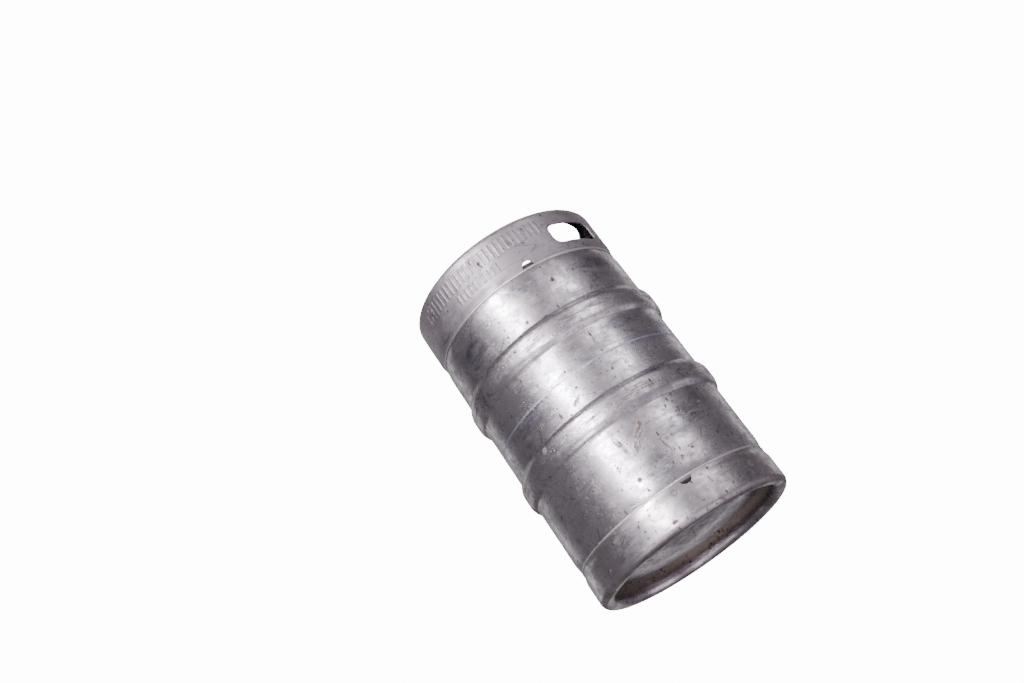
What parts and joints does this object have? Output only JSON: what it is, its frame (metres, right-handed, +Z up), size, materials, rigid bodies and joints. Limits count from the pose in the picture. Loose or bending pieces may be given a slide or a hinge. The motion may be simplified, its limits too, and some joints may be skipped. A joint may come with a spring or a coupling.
{
  "type": "beer keg",
  "caption": "Steel beer keg with rolled chimes, rolling hoops, handholds, drain notches and a well-type valve with a spring-loaded spear.",
  "frame": {"origin": "centre of the foot, on the surface that the keg stands on", "axes": "+Z up along the keg's axis; +X through the middle of a handhold"},
  "size_m": [0.381, 0.381, 0.6],
  "materials": {
    "chime_steel": "worn, scuffed stainless sheet, rolled and pressed",
    "shell_steel": "worn, drawn stainless sheet with pits and scratches",
    "weld_bead": "dull weld bead",
    "neck_steel": "turned stainless",
    "valve_steel": "turned and pressed stainless, bright",
    "spring_steel": "drawn spring wire",
    "seal_rubber": "moulded food-grade rubber, matt"
  },
  "bodies": {
    "keg": {"lower_chime": "chime_steel", "lower_chime_weld": "weld_bead", "lower_shell": "shell_steel", "girth_weld": "weld_bead", "upper_shell": "shell_steel", "upper_chime_weld": "weld_bead", "upper_chime": "chime_steel", "neck_weld": "weld_bead", "neck": "neck_steel", "housing_gasket": "seal_rubber", "valve_housing": "valve_steel", "retaining_ring": "valve_steel", "spring_cage": "valve_steel", "main_spring": "spring_steel"},
    "spear": {"gas_seal": "seal_rubber", "valve_cup": "valve_steel", "down_tube": "valve_steel", "ball_cage": "valve_steel", "ball_spring": "spring_steel"},
    "ball": {"beer_ball": "valve_steel"}
  },
  "joints": [
    {"name": "gas_valve_press", "type": "slide", "parent": "keg", "child": "spear", "axis": [0, 0, -1], "range_m": [0, 0.007], "stiffness_N_per_m": 6000, "springref_m": -0.02, "deforming": ["main_spring"]},
    {"name": "beer_ball_press", "type": "slide", "parent": "spear", "child": "ball", "axis": [0, 0, -1], "range_m": [0, 0.004], "stiffness_N_per_m": 500, "springref_m": -0.006, "deforming": ["ball_spring"]}
  ]
}
